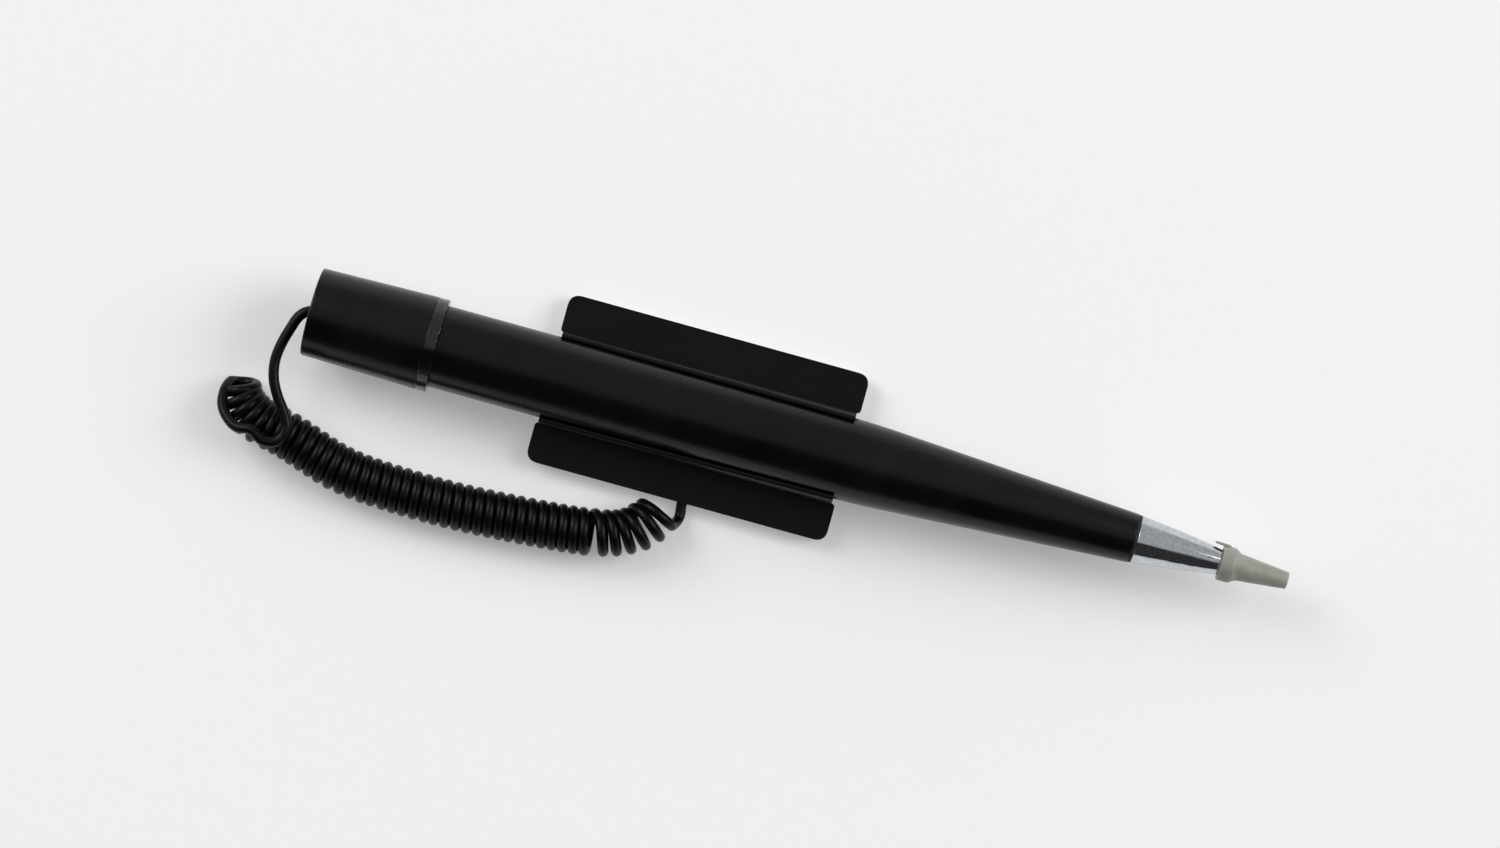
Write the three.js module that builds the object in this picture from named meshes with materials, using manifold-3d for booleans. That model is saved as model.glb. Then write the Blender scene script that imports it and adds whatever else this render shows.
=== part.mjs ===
// Tethered counterfeit detector pen in its winged counter holder, with a curly cord.
// Millimetres, +Z up. The pen's axis runs along X, with the cap towards -X and the nib towards +X.
// The origin is the middle of the holder's underside, on the surface that the holder stands on.
import * as THREE from 'three';
import { mergeVertices } from 'three/addons/utils/BufferGeometryUtils.js';
import Module from 'manifold-3d';

const wasm = await Module();
wasm.setup();

// ---- Driving dimensions ----
// Clearances and facets
const slideFit = 0.15; // radial, between parts that push or turn into each other
const looseFit = 0.3; // radial, around the cord and loose inner pieces
const cutGap = 0.3; // between a piece and the pocket cut for it
const endGap = 0.3; // along the axis, between inner pieces that don't press on each other
const roundSides = 48;

// Pen, each length along the axis
const capLength = 19.0;
const capProud = 0.925; // cap's mouth and collar beyond the barrel
const capDraft = 0.45; // cap's mouth beyond its end
const capEndWall = 2.0;
const capEdge = 0.35;
const collarLength = 1.8;
const barrelRadius = 6.625;
const straightLength = 70.2;
const taperLength = 44.2;
const barrelFrontRadius = 3.95;
const neckLength = 11.8;
const neckStep = 0.875; // barrel's neck below its outside
const gasketLength = 0.5;
const coneLength = 14.8;
const coneBaseRadius = 3.85;
const coneFrontRadius = 1.85;
const coneBulge = 0.16; // how far the cone's side stands out from a straight one
const spigotLength = 5.8;
const spigotRadius = 2.9;
const nibRadius = 0.98;
const nibReach = 3.9; // nib beyond the cone
const nibPointLength = 2.2;
const nibPointRadius = 0.35;

// Ink cartridge
const cartridgeRadius = 3.85;
const cartridgeWall = 0.55;
const nibFlangeLength = 2.0;
const frontBoreRadius = 3.05; // barrel's bore ahead of the cartridge
const frontBoreLength = 25.0;
const stemRadius = 2.3;
const noseStemRadius = 1.65;
const holderTipRadius = 1.3;
const holderTipLength = 3.2;
const plugSpigot = 4.0; // spigots of the cartridge's plug and nib holder
const rearSpigotLength = 2.8;
const plugFlangeLength = 0.65;
const nibTail = 2.0; // nib behind its holder, towards the reservoir

// Tip cap
const tipCapLength = 11.1;
const tipCapOverlap = 1.0; // how far it reaches back over the cone
const tipFlangeRadius = 2.85;
const tipFlangeLength = 2.0;
const tipBodyRadius = 2.2;
const tipEndRadius = 1.35;
const tipTabReach = 1.5;
const tipTabWidth = 2.0;
const tipTabThickness = 0.5;
const tipTabLift = 0.3; // tab's outer face above the flange
const tipFlangeSlope = 0.9;

// Holder
const holderLength = 49.7;
const holderWidth = 27.6;
const plateThickness = 2.0;
const plateCorner = 2.0;
const notchDepth = 0.7; // step back of the plate's ends beneath the pen
const notchCorner = 0.68;
const saddleWall = 0.7;
const saddleFit = 0.15;
const lipRiseRear = 1.9; // lips above the pen's axis, at the cap end
const lipRiseFront = 3.1; // and at the nib end
const padThickness = 1.0;
const padInset = 0.6;
const linerThickness = 0.2;
const linerInset = 0.3;
const holderFromCap = 38.6; // from the cap's end face to the holder
const floorWeb = 1.2; // holder's material beneath the barrel

// Cord
const cordDiameter = 1.7;
const coilDiameter = 7.8;
const cordSides = 8;
const coilSides = 12;
const leadSteps = 18;
const tailSteps = 9;
const coilSteps = 26;
const ferruleLength = 4.4;
const capFerruleRadius = 1.9;
const holderFerruleRadius = 1.25;
const washerThickness = 0.8;
const washerRadius = 4.0;
const cordEntry = 1.15; // where the cord enters the holder, along X
const entryDepth = 4.7; // from the wing's edge to the ferrule's end
const cordHeight = 1.35; // cord's axis inside the holder
const ferruleLift = 0.05; // holder's ferrule above the liner

// ---- Places worked out from the dimensions ----
const padTop = linerThickness + padThickness;
const plateTop = padTop + plateThickness;
const capMouthRadius = barrelRadius + capProud;
const capEndRadius = capMouthRadius - capDraft;
const neckRadius = barrelRadius - neckStep;
const saddleBore = barrelRadius + saddleFit;
const saddleRadius = saddleBore + saddleWall;
const axisHeight = padTop + floorWeb + saddleBore;
const penStart = -(holderFromCap + holderLength / 2);
const collarStart = capLength;
const barrelShoulder = collarStart + collarLength;
const neckStart = barrelShoulder - neckLength;
const taperStart = barrelShoulder + straightLength;
const barrelEnd = taperStart + taperLength;
const coneStart = barrelEnd + gasketLength;
const coneEnd = coneStart + coneLength;
const plugStart = neckStart - plugFlangeLength;
const cartridgeStart = neckStart + rearSpigotLength + endGap;
const barrelBore = cartridgeRadius + slideFit;
const boreStep = barrelEnd - frontBoreLength;
const nibFlangeEnd = boreStep - endGap;
const cartridgeEnd = nibFlangeEnd - nibFlangeLength;
const cartridgeBore = cartridgeRadius - cartridgeWall;
const nibStart = cartridgeEnd - plugSpigot - nibTail;
const nibEnd = coneEnd + nibReach;
const cordHole = cordDiameter / 2 + looseFit;
const plateFrontEdge = -holderWidth / 2;
const ferruleEnd = plateFrontEdge + cutGap + entryDepth + ferruleLength;

// Route of the cord where it isn't coiled, and of the coil's own axis: X, Y, Z from the origin.
const leadRoute = [
  [-60.75, 0.0, 9.18],
  [-62.4, 0.0, 9.18],
  [-63.9, -0.1, 9.18],
  [-65.2, -1.25, 9.18],
  [-66.1, -3.7, 9.14],
  [-66.8, -6.4, 9.1],
  [-67.05, -9.1, 9.05],
  [-66.5, -11.9, 9.02],
  [-65.2, -14.4, 9.0],
  [-63.6, -16.6, 9.0],
  [-62.5, -19.0, 9.0],
  [-63.3, -21.3, 9.0],
  [-65.6, -21.9, 9.0],
  [-67.8, -20.7, 9.0],
];
const coilRoute = [
  [-71.0, -14.0, 3.9],
  [-70.5, -16.1, 3.9],
  [-68.7, -18.1, 3.9],
  [-66.0, -19.3, 3.9],
  [-62.6, -20.0, 3.9],
  [-58.2, -21.5, 3.9],
  [-54.0, -22.8, 3.9],
  [-49.7, -23.5, 3.9],
  [-41.7, -23.9, 3.9],
  [-33.8, -23.9, 3.9],
  [-26.1, -23.5, 3.9],
  [-18.3, -22.9, 3.9],
  [-12.6, -22.3, 3.9],
  [-9.4, -21.6, 3.9],
  [-6.3, -20.5, 3.9],
  [-4.2, -19.1, 3.9],
  [-2.3, -17.4, 3.9],
];
const tailRoute = [
  [1.0, -17.1, 2.2],
  [1.25, -16.4, 1.55],
  [1.3, -15.5, 1.32],
  [1.2, -14.5, 1.34],
  [1.15, -13.6, 1.35],
  [1.15, -12.8, 1.35],
  [1.15, -11.2, 1.35],
  [1.15, -9.4, 1.35],
];

// ---- Materials ----
const paint = (color, roughness, metalness = 0, opacity = 1) =>
  new THREE.MeshStandardMaterial({ color, roughness, metalness, opacity, transparent: opacity < 1 });
const glossBlack = paint(0x17181b, 0.28);
const mouldedBlack = paint(0x1b1c1f, 0.38);
const clearPlastic = paint(0xd9dde0, 0.12, 0, 0.45);
const chrome = paint(0xc9ccd0, 0.1, 1);
const steel = paint(0x9a9da1, 0.35, 1);
const milkyPlastic = paint(0xd6d3c6, 0.45);
const naturalPlastic = paint(0xe6e6e0, 0.4);
const inkFibre = paint(0x8c7a45, 0.9);
const nibFelt = paint(0xb89d4c, 0.85);
const blackRubber = paint(0x141415, 0.7);
const foam = paint(0xe9e9e6, 0.95);
const linerPaper = paint(0xf0ede2, 0.6);
const cordPlastic = paint(0x151517, 0.4);

// ---- Shapes ----
const group = new THREE.Group();
const pen = new THREE.Group();
pen.position.set(penStart, 0, axisHeight);
group.add(pen);

function addPiece(parent, name, geometry, material) {
  const mesh = new THREE.Mesh(geometry, material);
  mesh.name = name;
  parent.add(mesh);
}

// Turns a closed outline of [x along the axis, radius] points about the X axis.
function turned(outline, sides = roundSides) {
  const points = outline.map(([x, radius]) => new THREE.Vector2(radius, x));
  const first = points[0];
  if (first.x > 0) points.push(first.clone());
  return new THREE.LatheGeometry(points, sides).rotateZ(-Math.PI / 2);
}

// A tube wall between two radii.
function ring(start, end, innerRadius, outerRadius) {
  return turned([
    [start, innerRadius],
    [start, outerRadius],
    [end, outerRadius],
    [end, innerRadius],
  ]);
}

// A round section swept along points that a smooth curve runs through.
function swept(route, radius, sides, steps) {
  const section = new THREE.Shape();
  for (let i = 0; i < sides; i += 1) {
    const angle = (2 * Math.PI * i) / sides;
    const corner = [radius * Math.cos(angle), radius * Math.sin(angle)];
    if (i === 0) section.moveTo(...corner);
    else section.lineTo(...corner);
  }
  const path = new THREE.CatmullRomCurve3(route.map((point) => new THREE.Vector3(...point)));
  return new THREE.ExtrudeGeometry(section, { steps, extrudePath: path, curveSegments: 1 });
}

function toSolid(geometry) {
  const bare = geometry.clone();
  bare.deleteAttribute('normal');
  bare.deleteAttribute('uv');
  const merged = mergeVertices(bare, 1e-4);
  return new wasm.Manifold(new wasm.Mesh({
    numProp: 3,
    vertProperties: new Float32Array(merged.attributes.position.array),
    triVerts: new Uint32Array(merged.index.array),
  }));
}

function toGeometry(solid) {
  const mesh = solid.getMesh();
  const geometry = new THREE.BufferGeometry();
  geometry.setAttribute('position', new THREE.BufferAttribute(mesh.vertProperties, 3));
  geometry.setIndex(new THREE.BufferAttribute(mesh.triVerts, 1));
  return geometry;
}

function block(low, high) {
  const size = high.map((value, axis) => value - low[axis]);
  const box = new THREE.BoxGeometry(...size);
  box.translate(...low.map((value, axis) => value + size[axis] / 2));
  return toSolid(box);
}

// A flat outline in X and Y, from one height to another.
function slab(outline, bottom, top) {
  const sheet = new THREE.ExtrudeGeometry(outline, {
    depth: top - bottom,
    bevelEnabled: false,
    curveSegments: 6,
  });
  return sheet.translate(0, 0, bottom);
}

// Rounded corner of an outline, from the side it arrives on to the side it leaves on.
function corner(outline, x, y, fromX, fromY, toX, toY, radius) {
  outline.lineTo(x + fromX * radius, y + fromY * radius);
  outline.quadraticCurveTo(x, y, x + toX * radius, y + toY * radius);
}

// The plate: two wings whose ends stand a step further out than the saddle between them.
function plateOutline(inset) {
  const endX = holderLength / 2 - inset;
  const stepX = endX - notchDepth;
  const edgeY = holderWidth / 2 - inset;
  const innerY = saddleRadius + inset / 2;
  const outline = new THREE.Shape();
  outline.moveTo(0, -edgeY);
  corner(outline, endX, -edgeY, -1, 0, 0, 1, plateCorner);
  corner(outline, endX, -innerY, 0, -1, -1, 0, notchCorner);
  outline.lineTo(stepX, -innerY);
  outline.lineTo(stepX, innerY);
  corner(outline, endX, innerY, -1, 0, 0, 1, notchCorner);
  corner(outline, endX, edgeY, 0, -1, -1, 0, plateCorner);
  corner(outline, -endX, edgeY, 1, 0, 0, -1, plateCorner);
  corner(outline, -endX, innerY, 0, 1, 1, 0, notchCorner);
  outline.lineTo(-stepX, innerY);
  outline.lineTo(-stepX, -innerY);
  corner(outline, -endX, -innerY, 1, 0, 0, -1, notchCorner);
  corner(outline, -endX, -edgeY, 0, 1, 1, 0, plateCorner);
  return outline;
}

// ---- Pen ----
function capGeometry() {
  const cavity = washerRadius + looseFit;
  const bore = neckRadius + slideFit;
  const cavityEnd = plugStart - endGap / 2;
  return turned([
    [0, cordHole],
    [0, capEndRadius - capEdge],
    [capEdge, capEndRadius],
    [capLength, capMouthRadius],
    [capLength, bore],
    [cavityEnd, bore],
    [cavityEnd, cavity],
    [capEndWall, cavity],
    [capEndWall, cordHole],
  ]);
}

function barrelGeometry() {
  return turned([
    [neckStart, barrelBore],
    [neckStart, neckRadius],
    [barrelShoulder, neckRadius],
    [barrelShoulder, barrelRadius],
    [taperStart, barrelRadius],
    [barrelEnd, barrelFrontRadius],
    [barrelEnd, frontBoreRadius],
    [boreStep, frontBoreRadius],
    [boreStep, barrelBore],
  ]);
}

// The cone's side is a shallow curve, steepest towards the nib.
function coneGeometry() {
  const side = [];
  const sideSteps = 8;
  for (let i = 0; i <= sideSteps; i += 1) {
    const t = i / sideSteps;
    const straight = coneBaseRadius + (coneFrontRadius - coneBaseRadius) * t;
    side.push([coneStart + coneLength * t, straight + coneBulge * Math.sin(Math.PI * t)]);
  }
  const stemBore = stemRadius + slideFit;
  const noseBore = noseStemRadius + slideFit;
  const tipBore = holderTipRadius + slideFit;
  return turned([
    [coneStart - spigotLength, stemBore],
    [coneStart - spigotLength, spigotRadius],
    [coneStart, spigotRadius],
    ...side,
    [coneEnd, tipBore],
    [coneEnd - holderTipLength + endGap, tipBore],
    [coneEnd - holderTipLength + endGap, noseBore],
    [coneStart, noseBore],
    [coneStart, stemBore],
  ]);
}

function nibHolderGeometry() {
  const bore = nibRadius + slideFit;
  const rear = cartridgeEnd - plugSpigot;
  const stemEnd = coneStart - endGap;
  const tipStart = coneEnd - holderTipLength;
  return turned([
    [rear, bore],
    [rear, cartridgeBore - slideFit],
    [cartridgeEnd, cartridgeBore - slideFit],
    [cartridgeEnd, cartridgeRadius],
    [nibFlangeEnd, cartridgeRadius],
    [nibFlangeEnd, stemRadius],
    [stemEnd, stemRadius],
    [stemEnd, noseStemRadius],
    [tipStart, noseStemRadius],
    [tipStart, holderTipRadius],
    [coneEnd - endGap, holderTipRadius],
    [coneEnd - endGap, bore],
  ]);
}

function plugGeometry(flangeStart, spigotStart, spigotEnd, flangeRadius, spigotRadiusHere) {
  return turned([
    [flangeStart, 0],
    [flangeStart, flangeRadius],
    [spigotStart, flangeRadius],
    [spigotStart, spigotRadiusHere],
    [spigotEnd, spigotRadiusHere],
    [spigotEnd, 0],
  ]);
}

function rod(start, end, radius) {
  return turned([
    [start, 0],
    [start, radius],
    [end, radius],
    [end, 0],
  ]);
}

function nibGeometry() {
  const shoulder = nibEnd - nibPointLength;
  return turned([
    [nibStart, 0],
    [nibStart, nibRadius],
    [shoulder, nibRadius],
    [nibEnd - nibPointRadius, nibPointRadius],
    [nibEnd, nibPointRadius / 2],
    [nibEnd, 0],
  ]);
}

function tipCapGeometry() {
  const start = coneEnd - tipCapOverlap;
  const flangeEnd = start + tipFlangeLength;
  const end = start + tipCapLength;
  const coneSocket = coneFrontRadius + coneBulge + slideFit;
  const nibSocket = nibRadius + looseFit;
  const socketEnd = nibEnd + endGap + nibRadius;
  const body = toSolid(turned([
    [start, coneSocket],
    [start, tipFlangeRadius],
    [flangeEnd, tipFlangeRadius],
    [flangeEnd + tipFlangeSlope, tipBodyRadius],
    [end, tipEndRadius],
    [end, 0],
    [socketEnd, 0],
    [nibEnd, nibSocket],
    [coneEnd + endGap, nibSocket],
    [coneEnd + endGap, coneSocket],
  ]));
  const tabTop = tipFlangeRadius + tipTabLift;
  const tab = block(
    [start - tipTabReach, tabTop - tipTabThickness, -tipTabWidth / 2],
    [start + tipFlangeLength / 2, tabTop, tipTabWidth / 2],
  );
  return toGeometry(body.add(tab));
}

addPiece(pen, 'end_cap', capGeometry(), glossBlack);
addPiece(pen, 'clear_collar',
  ring(collarStart, barrelShoulder, neckRadius + slideFit, capMouthRadius), clearPlastic);
addPiece(pen, 'barrel', barrelGeometry(), glossBlack);
addPiece(pen, 'barrel_plug', plugGeometry(plugStart, neckStart, neckStart + rearSpigotLength,
  neckRadius - slideFit, barrelBore - slideFit), naturalPlastic);
addPiece(pen, 'cartridge_tube',
  ring(cartridgeStart, cartridgeEnd, cartridgeBore, cartridgeRadius), naturalPlastic);
addPiece(pen, 'cartridge_plug', rod(cartridgeStart, cartridgeStart + plugSpigot,
  cartridgeBore - slideFit), naturalPlastic);
addPiece(pen, 'ink_reservoir', rod(cartridgeStart + plugSpigot + endGap,
  nibStart - endGap, cartridgeBore - slideFit), inkFibre);
addPiece(pen, 'nib_holder', nibHolderGeometry(), naturalPlastic);
addPiece(pen, 'nib', nibGeometry(), nibFelt);
addPiece(pen, 'cone_gasket',
  ring(barrelEnd, coneStart, spigotRadius + slideFit, coneBaseRadius), blackRubber);
addPiece(pen, 'nose_cone', coneGeometry(), chrome);
addPiece(pen, 'tip_cap', tipCapGeometry(), milkyPlastic);
addPiece(pen, 'cap_washer', ring(capEndWall, capEndWall + washerThickness, cordHole, washerRadius),
  steel);
addPiece(pen, 'cap_ferrule', rod(capEndWall + washerThickness + endGap,
  capEndWall + washerThickness + endGap + ferruleLength, capFerruleRadius), steel);

// ---- Holder ----
function holderGeometry() {
  const saddleEnd = holderLength / 2 - notchDepth;
  const plate = toSolid(slab(plateOutline(0), padTop, plateTop));
  const walls = block(
    [-saddleEnd, -saddleRadius, padTop],
    [saddleEnd, saddleRadius, axisHeight],
  );
  const crown = toSolid(rod(-saddleEnd, saddleEnd, saddleRadius).translate(0, 0, axisHeight));
  const bore = toSolid(rod(-holderLength, holderLength, saddleBore).translate(0, 0, axisHeight));

  // Everything above a plane that rises from the lips' rear to their front.
  const above = new THREE.Shape();
  above.moveTo(-saddleEnd, axisHeight + lipRiseRear);
  above.lineTo(saddleEnd, axisHeight + lipRiseFront);
  above.lineTo(saddleEnd + 1, axisHeight + lipRiseFront);
  above.lineTo(saddleEnd + 1, axisHeight + 2 * saddleRadius);
  above.lineTo(-saddleEnd - 1, axisHeight + 2 * saddleRadius);
  above.lineTo(-saddleEnd - 1, axisHeight + lipRiseRear);
  const wedge = new THREE.ExtrudeGeometry(above, { depth: holderWidth, bevelEnabled: false });
  wedge.rotateX(Math.PI / 2).translate(0, holderWidth / 2, 0);

  const channelHalf = cordDiameter / 2 + cutGap;
  const channel = block(
    [cordEntry - channelHalf, plateFrontEdge - 1, padTop - 1],
    [cordEntry + channelHalf, ferruleEnd, cordHeight + channelHalf],
  );
  const pocketHalf = holderFerruleRadius + cutGap;
  const pocket = block(
    [cordEntry - pocketHalf, plateFrontEdge + entryDepth, padTop - 1],
    [cordEntry + pocketHalf, ferruleEnd + cutGap, cordHeight + pocketHalf],
  );
  const solid = plate.add(walls).add(crown).subtract(bore).subtract(toSolid(wedge))
    .subtract(channel).subtract(pocket);
  return toGeometry(solid);
}

function padGeometry() {
  const sheet = toSolid(slab(plateOutline(padInset), linerThickness, padTop));
  const slotHalf = holderFerruleRadius + cutGap;
  const slot = block(
    [cordEntry - slotHalf, plateFrontEdge - 1, 0],
    [cordEntry + slotHalf, ferruleEnd + cutGap, padTop + 1],
  );
  return toGeometry(sheet.subtract(slot));
}

function holderFerruleGeometry() {
  const start = plateFrontEdge + entryDepth + cutGap;
  return rod(0, ferruleLength, holderFerruleRadius).rotateZ(Math.PI / 2)
    .translate(cordEntry, start, holderFerruleRadius + linerThickness + ferruleLift);
}

addPiece(group, 'holder', holderGeometry(), mouldedBlack);
addPiece(group, 'foam_pad', padGeometry(), foam);
addPiece(group, 'release_liner', slab(plateOutline(linerInset), 0, linerThickness), linerPaper);
addPiece(group, 'holder_ferrule', holderFerruleGeometry(), steel);

// ---- Cord ----
addPiece(group, 'cord_lead', swept(leadRoute, cordDiameter / 2, cordSides, leadSteps), cordPlastic);
addPiece(group, 'cord_coil', swept(coilRoute, coilDiameter / 2, coilSides, coilSteps), cordPlastic);
addPiece(group, 'cord_tail', swept(tailRoute, cordDiameter / 2, cordSides, tailSteps), cordPlastic);

export default group;
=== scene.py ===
import math

import bmesh
import bpy
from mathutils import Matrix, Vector


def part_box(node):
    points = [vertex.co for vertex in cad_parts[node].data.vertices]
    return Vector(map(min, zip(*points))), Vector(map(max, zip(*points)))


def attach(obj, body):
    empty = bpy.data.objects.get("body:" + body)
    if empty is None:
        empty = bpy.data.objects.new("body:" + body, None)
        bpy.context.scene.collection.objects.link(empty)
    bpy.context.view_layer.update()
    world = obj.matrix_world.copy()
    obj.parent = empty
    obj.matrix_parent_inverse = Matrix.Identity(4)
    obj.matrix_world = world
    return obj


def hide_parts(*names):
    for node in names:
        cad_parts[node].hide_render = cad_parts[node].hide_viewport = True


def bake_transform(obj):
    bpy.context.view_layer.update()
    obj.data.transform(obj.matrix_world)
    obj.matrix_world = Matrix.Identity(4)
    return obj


# Tethered counterfeit detector pen, lying in its stick-on counter holder.
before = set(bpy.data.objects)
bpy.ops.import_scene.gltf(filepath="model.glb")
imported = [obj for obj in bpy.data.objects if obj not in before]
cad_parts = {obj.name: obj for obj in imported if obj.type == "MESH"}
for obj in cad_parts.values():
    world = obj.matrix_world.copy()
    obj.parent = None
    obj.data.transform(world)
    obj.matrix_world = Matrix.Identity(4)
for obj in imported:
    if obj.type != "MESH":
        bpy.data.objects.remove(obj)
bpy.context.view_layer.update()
mm = 0.001


def colour(hexText):
    # sRGB hex to the linear values that sockets take
    parts = [int(hexText[i:i + 2], 16) / 255 for i in (1, 3, 5)]
    linear = [p / 12.92 if p <= 0.04045 else ((p + 0.055) / 1.055) ** 2.4 for p in parts]
    return (*linear, 1.0)


def addNode(tree, kind, values=None, links=None, **settings):
    made = tree.nodes.new("ShaderNode" + kind)
    for name, value in settings.items():
        setattr(made, name, value)
    for name, value in (values or {}).items():
        made.inputs[name].default_value = value
    for name, source in (links or {}).items():
        tree.links.new(source, made.inputs[name])
    return made


def startMaterial(name, values):
    # A material with one Principled shader, and the piece's own coordinates in metres
    material = bpy.data.materials.new(name)
    material.use_nodes = True
    tree = material.node_tree
    shader = tree.nodes["Principled BSDF"]
    for socket, value in values.items():
        shader.inputs[socket].default_value = value
    place = addNode(tree, "TexCoord").outputs["Object"]
    return material, tree, shader, place


def patternScale(size):
    # Noise and Voronoi repeat about once per unit, so their scale is one over the size in metres
    return 1 / (size * mm)


def setMaterial(thing, material):
    thing.data.materials.clear()
    thing.data.materials.append(material)


def pieceFrom(bm, name, material, sharpAngle=35):
    mesh = bpy.data.meshes.new(name)
    bmesh.ops.recalc_face_normals(bm, faces=bm.faces)
    bm.to_mesh(mesh)
    bm.free()
    mesh.shade_smooth()
    mesh.set_sharp_from_angle(angle=math.radians(sharpAngle))
    piece = bpy.data.objects.new(name, mesh)
    bpy.context.scene.collection.objects.link(piece)
    setMaterial(piece, material)
    return piece


def standFor(piece, body, slot, *nodes):
    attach(piece, body)
    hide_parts(*nodes)


def smoothCurve(points, stepsEach):
    # Catmull-Rom through the points, the same kind of curve that the solids were swept along
    first = points[0] * 2 - points[1]
    last = points[-1] * 2 - points[-2]
    padded = [first, *points, last]
    made = []
    for i in range(len(points) - 1):
        p0, p1, p2, p3 = padded[i:i + 4]
        t0 = 0.0
        t1 = t0 + math.sqrt((p1 - p0).length)
        t2 = t1 + math.sqrt((p2 - p1).length)
        t3 = t2 + math.sqrt((p3 - p2).length)
        for k in range(stepsEach):
            t = t1 + (t2 - t1) * k / stepsEach
            a = p0 * ((t1 - t) / (t1 - t0)) + p1 * ((t - t0) / (t1 - t0))
            b = p1 * ((t2 - t) / (t2 - t1)) + p2 * ((t - t1) / (t2 - t1))
            c = p2 * ((t3 - t) / (t3 - t2)) + p3 * ((t - t2) / (t3 - t2))
            d = a * ((t2 - t) / (t2 - t0)) + b * ((t - t0) / (t2 - t0))
            e = b * ((t3 - t) / (t3 - t1)) + c * ((t - t1) / (t3 - t1))
            made.append(d * ((t2 - t) / (t2 - t1)) + e * ((t - t1) / (t2 - t1)))
    return made + [points[-1].copy()]


# Camera, straight overhead
cameraSetup = {
    "lens": 135.0,
    "turn": 15.45,  # degrees about the vertical
    "over": (8.3, 1.27),  # what the middle of the view stands over, mm
    "height": 902.0,  # mm above the surface
}
cameraData = bpy.data.cameras.new("overheadCamera")
cameraData.lens = cameraSetup["lens"]
cameraData.sensor_width = 36
cameraData.clip_start = 0.01
cameraData.clip_end = 20
camera = bpy.data.objects.new("overheadCamera", cameraData)
camera.location = (cameraSetup["over"][0] * mm, cameraSetup["over"][1] * mm, cameraSetup["height"] * mm)
camera.rotation_euler = (0, 0, math.radians(cameraSetup["turn"]))
bpy.context.scene.collection.objects.link(camera)
bpy.context.scene.camera = camera
print("camera set")


def glossBlackPolystyrene():
    # Injection-moulded high-gloss polystyrene: deep black, a soft even sheen, faint handling haze
    material, tree, shader, place = startMaterial("glossBlackPolystyrene", {
        "IOR": 1.59, "Specular IOR Level": 0.18, "Metallic": 0.0})
    haze = addNode(tree, "TexNoise", {"Scale": patternScale(9), "Detail": 5.0}, {"Vector": place})
    stretch = addNode(tree, "Mapping", {"Scale": (0.12, 1.0, 1.0)}, {"Vector": place})
    rub = addNode(tree, "TexNoise", {"Scale": patternScale(0.45), "Detail": 3.0},
                  {"Vector": stretch.outputs["Vector"]})
    tone = addNode(tree, "ValToRGB", links={"Fac": haze.outputs["Fac"]})
    tone.color_ramp.elements[0].position = 0.3
    tone.color_ramp.elements[0].color = colour("#050506")
    tone.color_ramp.elements[1].position = 0.75
    tone.color_ramp.elements[1].color = colour("#0a0b0d")
    mixed = addNode(tree, "Math", {1: 0.35}, {0: rub.outputs["Fac"], 2: haze.outputs["Fac"]},
                    operation="MULTIPLY_ADD")
    rough = addNode(tree, "MapRange", {"From Min": 0.35, "From Max": 1.0, "To Min": 0.2, "To Max": 0.34},
                    {"Value": mixed.outputs[0]})
    ripple = addNode(tree, "TexNoise", {"Scale": patternScale(14), "Detail": 1.0}, {"Vector": place})
    bump = addNode(tree, "Bump", {"Strength": 0.25, "Distance": 0.12 * mm},
                   {"Height": ripple.outputs["Fac"]})
    tree.links.new(tone.outputs["Color"], shader.inputs["Base Color"])
    tree.links.new(rough.outputs["Result"], shader.inputs["Roughness"])
    tree.links.new(bump.outputs["Normal"], shader.inputs["Normal"])
    return material


def sparkTexturedAbs():
    # ABS moulded against a spark-eroded tool: black with a fine satin grain that breaks up the light
    material, tree, shader, place = startMaterial("sparkTexturedAbs", {
        "IOR": 1.53, "Specular IOR Level": 0.15, "Metallic": 0.0})
    blotch = addNode(tree, "TexNoise", {"Scale": patternScale(7), "Detail": 4.0}, {"Vector": place})
    tone = addNode(tree, "ValToRGB", links={"Fac": blotch.outputs["Fac"]})
    tone.color_ramp.elements[0].position = 0.3
    tone.color_ramp.elements[0].color = colour("#060607")
    tone.color_ramp.elements[1].position = 0.75
    tone.color_ramp.elements[1].color = colour("#0b0c0e")
    # the real grain is about 0.05 mm, drawn at 0.3 mm so that it shows
    grain = addNode(tree, "TexNoise", {"Scale": patternScale(0.3), "Detail": 3.0}, {"Vector": place})
    rough = addNode(tree, "MapRange", {"From Min": 0.3, "From Max": 0.7, "To Min": 0.32, "To Max": 0.46},
                    {"Value": grain.outputs["Fac"]})
    bump = addNode(tree, "Bump", {"Strength": 0.35, "Distance": 0.02 * mm},
                   {"Height": grain.outputs["Fac"]})
    tree.links.new(tone.outputs["Color"], shader.inputs["Base Color"])
    tree.links.new(rough.outputs["Result"], shader.inputs["Roughness"])
    tree.links.new(bump.outputs["Normal"], shader.inputs["Normal"])
    return material


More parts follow.
